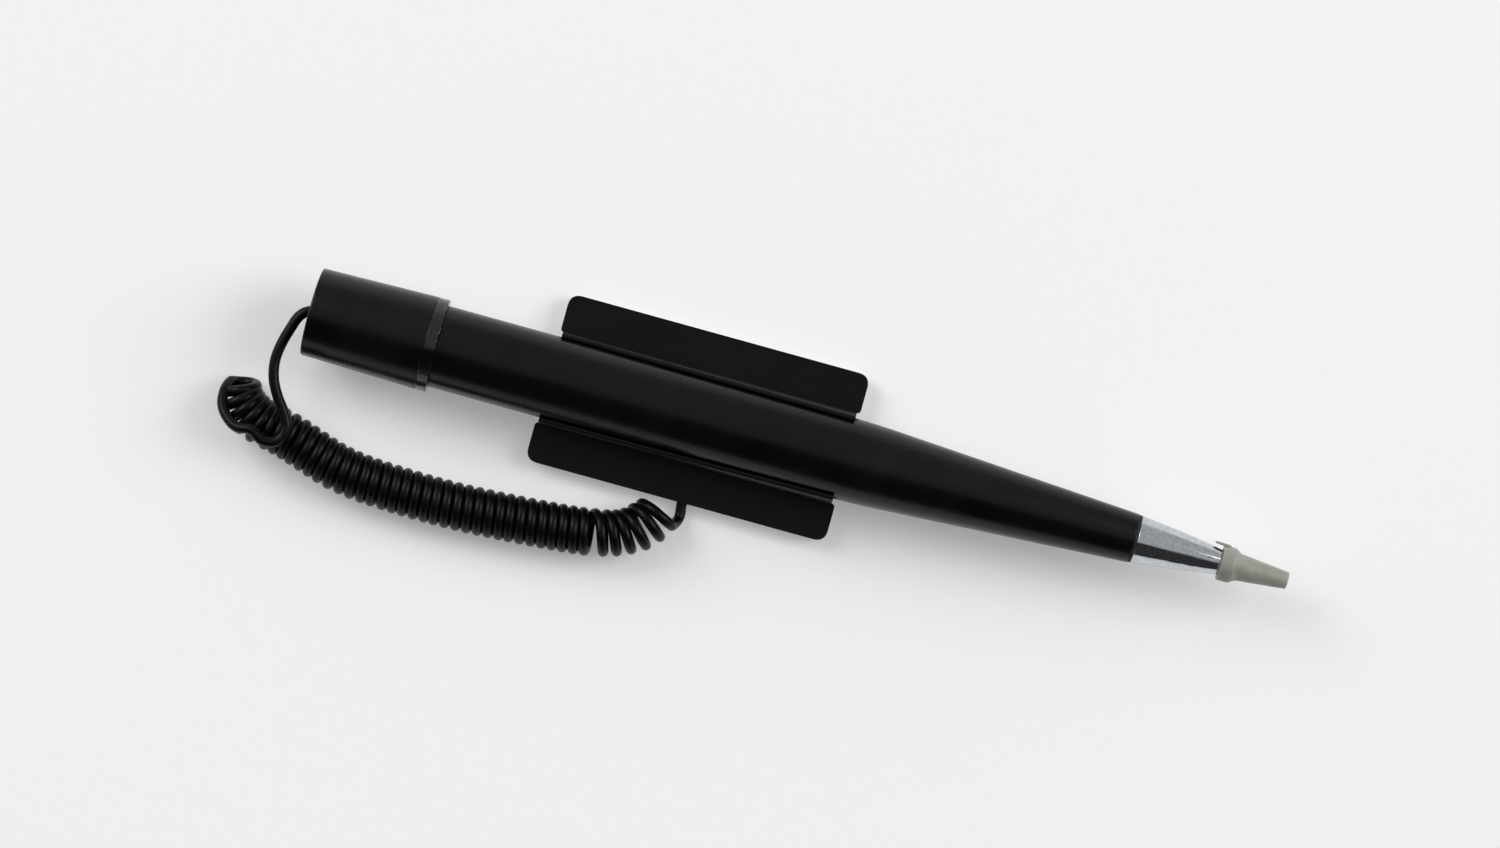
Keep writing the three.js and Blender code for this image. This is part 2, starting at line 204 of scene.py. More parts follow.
def extrudedPolyurethane():
    # Polyurethane cord jacket, heat-set into a coil: black, slightly greasy sheen, fine draw lines
    material, tree, shader, place = startMaterial("extrudedPolyurethane", {
        "IOR": 1.52, "Specular IOR Level": 0.14, "Metallic": 0.0})
    patch = addNode(tree, "TexNoise", {"Scale": patternScale(3.5), "Detail": 4.0}, {"Vector": place})
    tone = addNode(tree, "ValToRGB", links={"Fac": patch.outputs["Fac"]})
    tone.color_ramp.elements[0].position = 0.3
    tone.color_ramp.elements[0].color = colour("#040405")
    tone.color_ramp.elements[1].position = 0.75
    tone.color_ramp.elements[1].color = colour("#08080a")
    skin = addNode(tree, "TexNoise", {"Scale": patternScale(0.5), "Detail": 2.0}, {"Vector": place})
    rough = addNode(tree, "MapRange", {"From Min": 0.3, "From Max": 0.7, "To Min": 0.27, "To Max": 0.42},
                    {"Value": skin.outputs["Fac"]})
    bump = addNode(tree, "Bump", {"Strength": 0.3, "Distance": 0.03 * mm}, {"Height": skin.outputs["Fac"]})
    tree.links.new(tone.outputs["Color"], shader.inputs["Base Color"])
    tree.links.new(rough.outputs["Result"], shader.inputs["Roughness"])
    tree.links.new(bump.outputs["Normal"], shader.inputs["Normal"])
    return material


def clearAcrylic():
    # Moulded acrylic: water clear, bright at its edges, a little hazed by handling
    material, tree, shader, place = startMaterial("clearAcrylic", {
        "IOR": 1.49, "Transmission Weight": 1.0, "Base Color": colour("#e9edf0")})
    haze = addNode(tree, "TexNoise", {"Scale": patternScale(1.5), "Detail": 3.0}, {"Vector": place})
    rough = addNode(tree, "MapRange", {"From Min": 0.3, "From Max": 0.7, "To Min": 0.03, "To Max": 0.1},
                    {"Value": haze.outputs["Fac"]})
    bump = addNode(tree, "Bump", {"Strength": 0.08, "Distance": 0.03 * mm}, {"Height": haze.outputs["Fac"]})
    tree.links.new(rough.outputs["Result"], shader.inputs["Roughness"])
    tree.links.new(bump.outputs["Normal"], shader.inputs["Normal"])
    return material


def brightChromePlate():
    # Decorative chrome on a moulded cone: a cool mirror, its reflections drawn into streaks by polishing
    material, tree, shader, place = startMaterial("brightChromePlate", {"Metallic": 1.0})
    stretch = addNode(tree, "Mapping", {"Scale": (0.08, 1.0, 1.0)}, {"Vector": place})
    wave = addNode(tree, "TexNoise", {"Scale": patternScale(1.1), "Detail": 3.0},
                   {"Vector": stretch.outputs["Vector"]})
    fleck = addNode(tree, "TexNoise", {"Scale": patternScale(0.6), "Detail": 4.0}, {"Vector": place})
    tone = addNode(tree, "ValToRGB", links={"Fac": fleck.outputs["Fac"]})
    tone.color_ramp.elements[0].position = 0.25
    tone.color_ramp.elements[0].color = colour("#b4b7bc")
    tone.color_ramp.elements[1].position = 0.6
    tone.color_ramp.elements[1].color = colour("#cfd2d6")
    rough = addNode(tree, "MapRange", {"From Min": 0.3, "From Max": 0.75, "To Min": 0.05, "To Max": 0.12},
                    {"Value": fleck.outputs["Fac"]})
    bump = addNode(tree, "Bump", {"Strength": 0.3, "Distance": 0.12 * mm}, {"Height": wave.outputs["Fac"]})
    tree.links.new(tone.outputs["Color"], shader.inputs["Base Color"])
    tree.links.new(rough.outputs["Result"], shader.inputs["Roughness"])
    tree.links.new(bump.outputs["Normal"], shader.inputs["Normal"])
    return material


def milkyPolyethylene():
    # Low-density polyethylene, thinly moulded: waxy off-white, light soaks in, soft highlights
    material, tree, shader, place = startMaterial("milkyPolyethylene", {
        "IOR": 1.51, "Subsurface Weight": 0.35, "Subsurface Scale": 1.2 * mm})
    shader.inputs["Subsurface Radius"].default_value = (1.0, 0.9, 0.7)
    cloud = addNode(tree, "TexNoise", {"Scale": patternScale(2.2), "Detail": 4.0}, {"Vector": place})
    tone = addNode(tree, "ValToRGB", links={"Fac": cloud.outputs["Fac"]})
    tone.color_ramp.elements[0].position = 0.3
    tone.color_ramp.elements[0].color = colour("#8d8c83")
    tone.color_ramp.elements[1].position = 0.7
    tone.color_ramp.elements[1].color = colour("#9f9e95")
    wax = addNode(tree, "TexNoise", {"Scale": patternScale(0.35), "Detail": 3.0}, {"Vector": place})
    rough = addNode(tree, "MapRange", {"From Min": 0.3, "From Max": 0.7, "To Min": 0.38, "To Max": 0.52},
                    {"Value": wax.outputs["Fac"]})
    bump = addNode(tree, "Bump", {"Strength": 0.3, "Distance": 0.03 * mm}, {"Height": wax.outputs["Fac"]})
    tree.links.new(tone.outputs["Color"], shader.inputs["Base Color"])
    tree.links.new(rough.outputs["Result"], shader.inputs["Roughness"])
    tree.links.new(bump.outputs["Normal"], shader.inputs["Normal"])
    return material


def naturalPolypropylene():
    # Unpigmented polypropylene: cloudy white, soft gloss, light bleeding through thin walls
    material, tree, shader, place = startMaterial("naturalPolypropylene", {
        "IOR": 1.49, "Subsurface Weight": 0.25, "Subsurface Scale": 1.0 * mm})
    cloud = addNode(tree, "TexNoise", {"Scale": patternScale(3), "Detail": 3.0}, {"Vector": place})
    tone = addNode(tree, "ValToRGB", links={"Fac": cloud.outputs["Fac"]})
    tone.color_ramp.elements[0].position = 0.3
    tone.color_ramp.elements[0].color = colour("#d9d9d2")
    tone.color_ramp.elements[1].position = 0.7
    tone.color_ramp.elements[1].color = colour("#e9e9e3")
    rough = addNode(tree, "MapRange", {"From Min": 0.3, "From Max": 0.7, "To Min": 0.3, "To Max": 0.42},
                    {"Value": cloud.outputs["Fac"]})
    tree.links.new(tone.outputs["Color"], shader.inputs["Base Color"])
    tree.links.new(rough.outputs["Result"], shader.inputs["Roughness"])
    return material


def turnedSteel():
    # Plated steel, turned or pressed: grey metal with fine tool rings that spread the highlight
    material, tree, shader, place = startMaterial("turnedSteel", {"Metallic": 1.0})
    stretch = addNode(tree, "Mapping", {"Scale": (1.0, 0.2, 0.2)}, {"Vector": place})
    # tool marks are nearer 0.05 mm, drawn at 0.2 mm so that they show
    rings = addNode(tree, "TexNoise", {"Scale": patternScale(0.2), "Detail": 3.0},
                    {"Vector": stretch.outputs["Vector"]})
    tone = addNode(tree, "ValToRGB", links={"Fac": rings.outputs["Fac"]})
    tone.color_ramp.elements[0].position = 0.3
    tone.color_ramp.elements[0].color = colour("#8d9094")
    tone.color_ramp.elements[1].position = 0.7
    tone.color_ramp.elements[1].color = colour("#b3b6ba")
    rough = addNode(tree, "MapRange", {"From Min": 0.3, "From Max": 0.7, "To Min": 0.25, "To Max": 0.42},
                    {"Value": rings.outputs["Fac"]})
    bump = addNode(tree, "Bump", {"Strength": 0.3, "Distance": 0.02 * mm}, {"Height": rings.outputs["Fac"]})
    tree.links.new(tone.outputs["Color"], shader.inputs["Base Color"])
    tree.links.new(rough.outputs["Result"], shader.inputs["Roughness"])
    tree.links.new(bump.outputs["Normal"], shader.inputs["Normal"])
    return material


def mouldedNitrile():
    # Nitrile rubber ring: dull black, a dry matt skin
    material, tree, shader, place = startMaterial("mouldedNitrile", {"IOR": 1.52})
    skin = addNode(tree, "TexNoise", {"Scale": patternScale(0.25), "Detail": 3.0}, {"Vector": place})
    tone = addNode(tree, "ValToRGB", links={"Fac": skin.outputs["Fac"]})
    tone.color_ramp.elements[0].color = colour("#0d0d0e")
    tone.color_ramp.elements[1].color = colour("#19191b")
    rough = addNode(tree, "MapRange", {"To Min": 0.6, "To Max": 0.8}, {"Value": skin.outputs["Fac"]})
    bump = addNode(tree, "Bump", {"Strength": 0.4, "Distance": 0.02 * mm}, {"Height": skin.outputs["Fac"]})
    tree.links.new(tone.outputs["Color"], shader.inputs["Base Color"])
    tree.links.new(rough.outputs["Result"], shader.inputs["Roughness"])
    tree.links.new(bump.outputs["Normal"], shader.inputs["Normal"])
    return material


def closedCellFoam():
    # Cross-linked polyethylene foam: white, cut edges pocked with small closed cells, with painted shade in
    # each cell's pit
    material, tree, shader, place = startMaterial("closedCellFoam", {
        "IOR": 1.5, "Subsurface Weight": 0.2, "Subsurface Scale": 0.8 * mm})
    # cells are about 0.2 mm, drawn at 0.3 mm so that they show
    cells = addNode(tree, "TexVoronoi", {"Scale": patternScale(0.3)}, {"Vector": place})
    # the tone is darkest at each cell's middle, where the bump sinks the pit: painted shade in the pits
    tone = addNode(tree, "ValToRGB", links={"Fac": cells.outputs["Distance"]})
    tone.color_ramp.elements[0].color = colour("#c9c9c4")
    tone.color_ramp.elements[1].position = 0.5
    tone.color_ramp.elements[1].color = colour("#ecece8")
    rough = addNode(tree, "MapRange", {"To Min": 0.85, "To Max": 0.95},
                    {"Value": cells.outputs["Distance"]})
    bump = addNode(tree, "Bump", {"Strength": 0.6, "Distance": 0.1 * mm},
                   {"Height": cells.outputs["Distance"]})
    tree.links.new(tone.outputs["Color"], shader.inputs["Base Color"])
    tree.links.new(rough.outputs["Result"], shader.inputs["Roughness"])
    tree.links.new(bump.outputs["Normal"], shader.inputs["Normal"])
    return material


def siliconedPaper():
    # Glassine release paper, silicone-coated: cream, smooth, a low waxy shine over faint fibres
    material, tree, shader, place = startMaterial("siliconedPaper", {"IOR": 1.43})
    fibre = addNode(tree, "TexNoise", {"Scale": patternScale(0.8), "Detail": 6.0}, {"Vector": place})
    cockle = addNode(tree, "TexNoise", {"Scale": patternScale(12), "Detail": 2.0}, {"Vector": place})
    tone = addNode(tree, "ValToRGB", links={"Fac": fibre.outputs["Fac"]})
    tone.color_ramp.elements[0].position = 0.3
    tone.color_ramp.elements[0].color = colour("#e2dcc8")
    tone.color_ramp.elements[1].position = 0.7
    tone.color_ramp.elements[1].color = colour("#efe9d8")
    rough = addNode(tree, "MapRange", {"From Min": 0.3, "From Max": 0.7, "To Min": 0.4, "To Max": 0.55},
                    {"Value": fibre.outputs["Fac"]})
    bump = addNode(tree, "Bump", {"Strength": 0.3, "Distance": 0.15 * mm},
                   {"Height": cockle.outputs["Fac"]})
    tree.links.new(tone.outputs["Color"], shader.inputs["Base Color"])
    tree.links.new(rough.outputs["Result"], shader.inputs["Roughness"])
    tree.links.new(bump.outputs["Normal"], shader.inputs["Normal"])
    return material


def bondedFibre(name, dark, pale, roughness):
    # Polyester fibres bonded along the axis: matt, streaked lengthwise, stained by the amber ink
    material, tree, shader, place = startMaterial(name, {"IOR": 1.5})
    stretch = addNode(tree, "Mapping", {"Scale": (0.1, 1.0, 1.0)}, {"Vector": place})
    # fibres are about 0.03 mm, drawn at 0.15 mm so that they show
    fibres = addNode(tree, "TexNoise", {"Scale": patternScale(0.15), "Detail": 4.0},
                     {"Vector": stretch.outputs["Vector"]})
    tone = addNode(tree, "ValToRGB", links={"Fac": fibres.outputs["Fac"]})
    tone.color_ramp.elements[0].position = 0.3
    tone.color_ramp.elements[0].color = colour(dark)
    tone.color_ramp.elements[1].position = 0.7
    tone.color_ramp.elements[1].color = colour(pale)
    rough = addNode(tree, "MapRange", {"To Min": roughness, "To Max": roughness + 0.1},
                    {"Value": fibres.outputs["Fac"]})
    bump = addNode(tree, "Bump", {"Strength": 0.6, "Distance": 0.06 * mm},
                   {"Height": fibres.outputs["Fac"]})
    tree.links.new(tone.outputs["Color"], shader.inputs["Base Color"])
    tree.links.new(rough.outputs["Result"], shader.inputs["Roughness"])
    tree.links.new(bump.outputs["Normal"], shader.inputs["Normal"])
    return material


glossBlack = glossBlackPolystyrene()
satinBlack = sparkTexturedAbs()
cordJacket = extrudedPolyurethane()
clearPlastic = clearAcrylic()
chrome = brightChromePlate()
milkyPlastic = milkyPolyethylene()
naturalPlastic = naturalPolypropylene()
steel = turnedSteel()
rubber = mouldedNitrile()
foam = closedCellFoam()
linerPaper = siliconedPaper()
inkFibre = bondedFibre("bondedPolyesterRod", "#6f5c2b", "#9c8447", 0.85)
nibFelt = bondedFibre("bondedFeltNib", "#9a7c35", "#c4a55a", 0.8)
print("materials made")


# Curly cord: one length from the end cap, through the coil, to the holder
cordSizes = {
    "diameter": 1.7,
    "coilDiameter": 7.8,
    "pitch": 1.72,  # turn to turn, where the coil is closed
    "stepsPerTurn": 24,
    "sides": 14,
    "stepFrom": 0.28,  # the part of a fanned turn in which the cord steps on to the next one
    "stepOver": 0.44,
    "closedFan": 0.35,  # how much of that a closed turn does
    # cap end to coil, mm from the origin
    "lead": [(-60.75, 0.0, 9.18), (-62.4, 0.0, 9.18), (-63.9, -0.1, 9.18), (-65.2, -1.25, 9.18),
             (-66.1, -3.7, 9.14), (-66.8, -6.4, 9.1), (-67.05, -9.1, 9.05), (-66.5, -11.9, 9.02),
             (-65.2, -14.4, 9.0), (-63.6, -16.6, 9.0), (-62.5, -19.0, 9.0), (-63.3, -21.3, 9.0),
             (-65.6, -21.9, 9.0), (-67.8, -20.7, 9.0)],
    # back along the coil's flank and round its end
    "leadIn": [(-70.3, -20.9, 8.3), (-72.4, -19.6, 7.2), (-73.6, -17.9, 6.1), (-73.9, -15.9, 5.0)],
    # turns spread like a fan at each end: middle of the turn, where it points, radius
    "capFan": [((-71.55, -13.8), (-0.98, -0.2), 2.1), ((-71.45, -15.2), (-0.93, -0.36), 2.5),
               ((-70.95, -16.6), (-0.8, -0.6), 2.85), ((-69.85, -17.75), (-0.66, -0.75), 3.05),
               ((-68.4, -18.6), (-0.53, -0.85), 3.05), ((-66.75, -19.2), (-0.42, -0.91), 3.05)],
    "wingFan": [((-9.75, -21.75), (0.29, -0.96), 3.0), ((-7.95, -21.3), (0.39, -0.92), 2.95),
                ((-6.25, -20.6), (0.54, -0.84), 2.95), ((-4.65, -19.6), (0.68, -0.73), 3.05),
                ((-3.15, -17.95), (0.77, -0.64), 3.1), ((-1.95, -16.45), (0.9, -0.44), 2.85)],
    # the coil's own axis between them
    "coil": [(-66.75, -19.2, 3.9), (-62.6, -20.1, 3.9), (-58.2, -21.5, 3.9), (-54.0, -22.8, 3.9),
             (-49.7, -23.5, 3.9), (-41.7, -23.9, 3.9), (-33.8, -23.9, 3.9), (-26.1, -23.5, 3.9),
             (-18.3, -22.9, 3.9), (-12.6, -22.3, 3.9), (-9.75, -21.75, 3.9)],
    # off the last turn, round to the wing and under it
    "leadOut": [(1.0, -17.2, 2.3), (1.3, -16.4, 1.5), (1.35, -15.5, 1.32)],
    "tail": [(1.2, -14.5, 1.34), (1.15, -13.6, 1.35), (1.15, -12.8, 1.35), (1.15, -11.2, 1.35),
             (1.15, -9.4, 1.35)],
}


def vectors(points):
    return [Vector(p) for p in points]


def coilTurns(sizes):
    # One entry for each turn: its middle, the way it points away from the bend, its radius, how fanned
    radius = (sizes["coilDiameter"] - sizes["diameter"]) / 2
    axis = smoothCurve(vectors(sizes["coil"]), 40)
    gone, body = 0.0, []
    for i in range(1, len(axis)):
        gone += (axis[i] - axis[i - 1]).length
        # taken over a stretch of the axis, so that it changes smoothly from turn to turn
        ahead = (axis[min(i + 12, len(axis) - 1)] - axis[max(i - 12, 0)]).normalized()
        if gone >= sizes["pitch"]:
            gone -= sizes["pitch"]
            body.append((axis[i].xy, Vector((ahead.y, -ahead.x)), radius, sizes["closedFan"]))
    # a last turn that would crowd the fan is left out
    spare = (axis[-1].xy - body[-1][0]).length
    if spare < sizes["pitch"] * 0.7:
        body.pop()
    fans = [[(Vector(m), Vector(d).normalized(), r, 1.0) for m, d, r in sizes[key]]
            for key in ("capFan", "wingFan")]
    return fans[0] + body + fans[1]


def coilCentreline(sizes):
    # Winds the cord through the turns; it steps on to the next turn on the inner side of the bend
    turns = coilTurns(sizes)
    perTurn = sizes["stepsPerTurn"]
    made = []
    for (m0, d0, r0, f0), (m1, d1, r1, f1) in zip(turns, turns[1:]):
        for k in range(perTurn):
            share = k / perTurn
            late = min(max((share - sizes["stepFrom"]) / sizes["stepOver"], 0.0), 1.0)
            late = late * late * (3 - 2 * late)
            fan = f0 + (f1 - f0) * share
            t = share + (late - share) * fan
            middle = m0.lerp(m1, t)
            outward = d0.lerp(d1, t).normalized()
            radius = r0 + (r1 - r0) * t
            angle = -2 * math.pi * share
            flat = middle + outward * (radius * math.cos(angle))
            height = radius + sizes["diameter"] / 2 + radius * math.sin(angle)
            made.append(Vector((flat.x, flat.y, height)))
    m, d, r, _ = turns[-1]
    made.append(Vector((m.x + d.x * r, m.y + d.y * r, r + sizes["diameter"] / 2)))
    return made, len(turns)


def thinned(points, spacing):
    # Even spacing along a curve
    made = [points[0]]
    gone = 0.0
    for a, b in zip(points, points[1:]):
        gone += (b - a).length
        if gone >= spacing:
            made.append(b)
            gone = 0.0
    return made


turnsLine, turnCount = coilCentreline(cordSizes)
startOfCord = smoothCurve(vectors(cordSizes["lead"] + cordSizes["leadIn"]) + turnsLine[1:3], 10)
endOfCord = smoothCurve(turnsLine[-2:] + vectors(cordSizes["leadOut"] + cordSizes["tail"]), 10)
cordLine = [p * mm for p in thinned(startOfCord, 0.5) + turnsLine[3:-2] + thinned(endOfCord, 0.5)]


def cordTube(name, line, sizes, material):
    # The mesh is the centre line; the modifier gives it its round section
    mesh = bpy.data.meshes.new(name)
    mesh.from_pydata([tuple(p) for p in line], [(i, i + 1) for i in range(len(line) - 1)], [])
    piece = bpy.data.objects.new(name, mesh)
    bpy.context.scene.collection.objects.link(piece)
    tree = bpy.data.node_groups.new("roundCord", "GeometryNodeTree")
    tree.interface.new_socket("Geometry", in_out="INPUT", socket_type="NodeSocketGeometry")
    tree.interface.new_socket("Geometry", in_out="OUTPUT", socket_type="NodeSocketGeometry")
    start = tree.nodes.new("NodeGroupInput")
    toCurve = tree.nodes.new("GeometryNodeMeshToCurve")
    circle = tree.nodes.new("GeometryNodeCurvePrimitiveCircle")
    circle.inputs["Resolution"].default_value = sizes["sides"]
    circle.inputs["Radius"].default_value = sizes["diameter"] / 2 * mm
    sweep = tree.nodes.new("GeometryNodeCurveToMesh")
    sweep.inputs["Fill Caps"].default_value = True
    shade = tree.nodes.new("GeometryNodeSetShadeSmooth")
    paint = tree.nodes.new("GeometryNodeSetMaterial")
    paint.inputs["Material"].default_value = material
    end = tree.nodes.new("NodeGroupOutput")
    for source, target in ((start.outputs[0], toCurve.inputs["Mesh"]),
                           (toCurve.outputs["Curve"], sweep.inputs["Curve"]),
                           (circle.outputs["Curve"], sweep.inputs["Profile Curve"]),
                           (sweep.outputs["Mesh"], shade.inputs["Geometry"]),
                           (shade.outputs["Geometry"], paint.inputs["Geometry"]),
                           (paint.outputs["Geometry"], end.inputs[0])):
        tree.links.new(source, target)
    piece.modifiers.new("roundSection", "NODES").node_group = tree
    setMaterial(piece, material)
    return piece


penAxisHeight = sum(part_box("barrel")[i].z for i in (0, 1)) / 2
curlyCord = cordTube("curlyCord", cordLine, cordSizes, cordJacket)
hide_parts("cord_lead", "cord_coil", "cord_tail")
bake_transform(curlyCord)
print("cord wound")


def eased(outline, steps=4):
    # Outline points are (x, radius, easing): a corner with an easing is rounded by that much
    made = []
    count = len(outline)
    for i, (x, radius, ease) in enumerate(outline):
        here = Vector((x, radius))
        if not ease:
            made.append(here)
            continue
        before = Vector(outline[i - 1][:2])
        after = Vector(outline[(i + 1) % count][:2])
        a = here + (before - here).normalized() * ease
        b = here + (after - here).normalized() * ease
        for k in range(steps + 1):
            t = k / steps
            made.append(a.lerp(here, t).lerp(here.lerp(b, t), t))
    return made


def turned(name, outline, material, sides=96, closed=True):
    # Spins an outline of (x, radius) in mm about the pen's axis
    bm = bmesh.new()
    rings = []
    for x, radius in outline:
        if radius < 1e-6:
            rings.append([bm.verts.new((x * mm, 0, penAxisHeight))])
            continue
        rings.append([bm.verts.new((x * mm, radius * mm * math.cos(2 * math.pi * k / sides),
                                    penAxisHeight + radius * mm * math.sin(2 * math.pi * k / sides)))
                      for k in range(sides)])
    pairs = list(zip(rings, rings[1:]))
    if closed:
        pairs.append((rings[-1], rings[0]))
    for a, b in pairs:
        for k in range(sides):
            n = (k + 1) % sides
            if len(a) == 1 and len(b) > 1:
                bm.faces.new((a[0], b[k], b[n]))
            elif len(b) == 1 and len(a) > 1:
                bm.faces.new((a[k], b[0], a[n]))
            elif len(a) > 1 and len(b) > 1:
                bm.faces.new((a[k], b[k], b[n], a[n]))
    return pieceFrom(bm, name, material)


def span(node):
    low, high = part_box(node)
    return low.x / mm, high.x / mm, (high.y - low.y) / 2 / mm


# End cap
capStart, capMouth, _ = span("end_cap")
capSizes = {
    "endRadius": 7.1, "mouthRadius": 7.55, "edge": 0.35, "mouthEdge": 0.14,
    "holeRadius": 1.15, "endWall": 2.0, "cavityRadius": 4.3, "boreRadius": 5.9, "boreStart": 5.4,
}
c = capSizes
endCap = turned("endCap", eased([
    (capStart, c["holeRadius"], 0.25),
    (capStart, c["endRadius"], c["edge"]),
    (capMouth, c["mouthRadius"], c["mouthEdge"]),
    (capMouth, c["boreRadius"], 0.1),
    (capStart + c["boreStart"], c["boreRadius"], 0),
    (capStart + c["boreStart"], c["cavityRadius"], 0),
    (capStart + c["endWall"], c["cavityRadius"], 0),
    (capStart + c["endWall"], c["holeRadius"], 0.1),
]), glossBlack)
standFor(endCap, "pen", "gloss_black", "end_cap")

# Clear collar
collarStart, collarEnd, collarRadius = span("clear_collar")
collarSizes = {"bore": 5.73, "edge": 0.14}  # pressed on the neck, so the black shows through
c = collarSizes
clearCollar = turned("clearCollar", eased([
    (collarStart, c["bore"], 0.08),
    (collarStart, collarRadius, c["edge"]),
    (collarEnd, collarRadius, c["edge"]),
    (collarEnd, c["bore"], 0.08),
]), clearPlastic)
standFor(clearCollar, "pen", "clear_plastic", "clear_collar")

# Barrel
neckStart, barrelEnd, barrelRadius = span("barrel")
barrelSizes = {
    "neckRadius": 5.75, "bore": 4.0, "straightEnd": 27.55, "frontRadius": 3.95,
    "frontBore": 3.05, "frontBoreLength": 25.0, "shoulderEdge": 0.12, "frontEdge": 0.15,
}
c = barrelSizes
barrel = turned("barrelShell", eased([
    (neckStart, c["bore"], 0.1),
    (neckStart, c["neckRadius"], 0.2),
    (collarEnd, c["neckRadius"], 0),
    (collarEnd, barrelRadius, c["shoulderEdge"]),
    (c["straightEnd"], barrelRadius, 4.0),
    (barrelEnd, c["frontRadius"], c["frontEdge"]),
    (barrelEnd, c["frontBore"], 0.1),
    (barrelEnd - c["frontBoreLength"], c["frontBore"], 0),
    (barrelEnd - c["frontBoreLength"], c["bore"], 0),
], steps=6), glossBlack, sides=128)
standFor(barrel, "pen", "gloss_black", "barrel")

# Rubber ring between barrel and cone
ringStart, ringEnd, ringRadius = span("cone_gasket")
ringSizes = {"bore": 3.05, "edge": 0.16}
c = ringSizes
gasket = turned("coneRing", eased([
    (ringStart, c["bore"], 0.05),
    (ringStart, ringRadius, c["edge"]),
    (ringEnd, ringRadius, c["edge"]),
    (ringEnd, c["bore"], 0.05),
]), rubber)
standFor(gasket, "gasket", "black_rubber", "cone_gasket")

# Chrome nose cone
spigotStart, coneEnd, _ = span("nose_cone")
coneSizes = {
    "start": 72.25, "baseRadius": 3.85, "frontRadius": 1.85, "bulge": 0.16, "spigotRadius": 2.9,
    "stemBore": 2.45, "noseBore": 1.8, "tipBore": 1.45, "tipBoreLength": 2.9, "edge": 0.12,
}
c = coneSizes
coneSide = []
for i in range(1, 40):
    t = i / 40
    straight = c["baseRadius"] + (c["frontRadius"] - c["baseRadius"]) * t
    coneSide.append((c["start"] + (coneEnd - c["start"]) * t,
                     straight + c["bulge"] * math.sin(math.pi * t), 0))
noseCone = turned("noseCone", eased([
    (spigotStart, c["stemBore"], 0.05),
    (spigotStart, c["spigotRadius"], 0.2),
    (c["start"], c["spigotRadius"], 0),
    (c["start"], c["baseRadius"], c["edge"]),
    *coneSide,
    (coneEnd, c["frontRadius"], 0.15),
    (coneEnd, c["tipBore"], 0.05),
    (coneEnd - c["tipBoreLength"], c["tipBore"], 0),
    (coneEnd - c["tipBoreLength"], c["noseBore"], 0),
    (c["start"], c["noseBore"], 0),
    (c["start"], c["stemBore"], 0),
]), chrome, sides=128)
standFor(noseCone, "cone", "chrome_plate", "nose_cone")

# Felt nib
nibStart, nibEnd, nibRadius = span("nib")
nibSizes = {"taper": 2.2, "point": 0.35, "pointRadius": 0.42, "endRadius": 0.12}
c = nibSizes
nib = turned("feltNib", eased([
    (nibStart, 0, 0),
    (nibStart, nibRadius, 0.1),
    (nibEnd - c["taper"], nibRadius, 0.5),
    (nibEnd - c["point"], c["pointRadius"], 0.3),
    (nibEnd, c["endRadius"], 0.08),
    (nibEnd, 0, 0),
]), nibFelt, sides=48, closed=False)
standFor(nib, "pen", "nib_felt", "nib")

# Tip cap: a turned plug with a flange, and a thin tab on the flange that is pulled to open it
_, tipEnd, _ = span("tip_cap")
tipSizes = {
    "start": 86.05, "flangeRadius": 2.85, "flangeLength": 2.0, "slope": 0.9, "bodyRadius": 2.2,
    "endRadius": 1.35, "socket": 2.16, "coneRoom": 0.3, "nibSocket": 1.28, "nibRoom": 1.28,
    "tabReach": 1.5, "tabWidth": 2.0, "tabThickness": 0.5, "tabTop": 3.15, "tabLift": 0.12,
    "tabEdge": 0.12,
}
c = tipSizes
tipCap = turned("tipCap", eased([
    (c["start"], c["socket"], 0.05),
    (c["start"], c["flangeRadius"], 0.2),
    (c["start"] + c["flangeLength"], c["flangeRadius"], 0.25),
    (c["start"] + c["flangeLength"] + c["slope"], c["bodyRadius"], 0.35),
    (tipEnd, c["endRadius"], 0.22),
    (tipEnd, 0, 0),
    (nibEnd + c["nibRoom"], 0, 0),
    (nibEnd, c["nibSocket"], 0.1),
    (coneEnd + c["coneRoom"], c["nibSocket"], 0),
    (coneEnd + c["coneRoom"], c["socket"], 0),
], steps=5), milkyPlastic, sides=72, closed=True)


def tabMesh(sizes):
    # A thin tongue that leaves the flange and lifts a little towards the cone
    bm = bmesh.new()
    rows = []
    start = sizes["start"]
    steps = 10
    for i in range(steps + 1):
        t = i / steps
        x = start + sizes["flangeLength"] * 0.5 - (sizes["tabReach"] + sizes["flangeLength"] * 0.5) * t
        top = sizes["tabTop"] - sizes["tabLift"] * (1 - t) ** 2
        # it narrows over its last third and thins all the way to its end
        half = sizes["tabWidth"] / 2 * (1 - 0.35 * (max(t - 0.7, 0) / 0.3) ** 2)
        thick = sizes["tabThickness"] * (1 - 0.25 * t)
        rows.append([bm.verts.new((x * mm, y * mm, penAxisHeight + z * mm)) for y, z in
                     ((top, -half), (top, half), (top - thick, half), (top - thick, -half))])
    for a, b in zip(rows, rows[1:]):
        for k in range(4):
            n = (k + 1) % 4
            bm.faces.new((a[k], a[n], b[n], b[k]))
    bm.faces.new(rows[0])
    bm.faces.new(rows[-1][::-1])
    bmesh.ops.recalc_face_normals(bm, faces=bm.faces)
    bmesh.ops.bevel(bm, geom=[e for e in bm.edges if e.is_manifold and e.calc_face_angle() > 0.9],
                    offset=sizes["tabEdge"] * mm, segments=3, affect="EDGES", profile=0.5)
    mesh = bpy.data.meshes.new("tab")
    bm.to_mesh(mesh)
    bm.free()
    return mesh


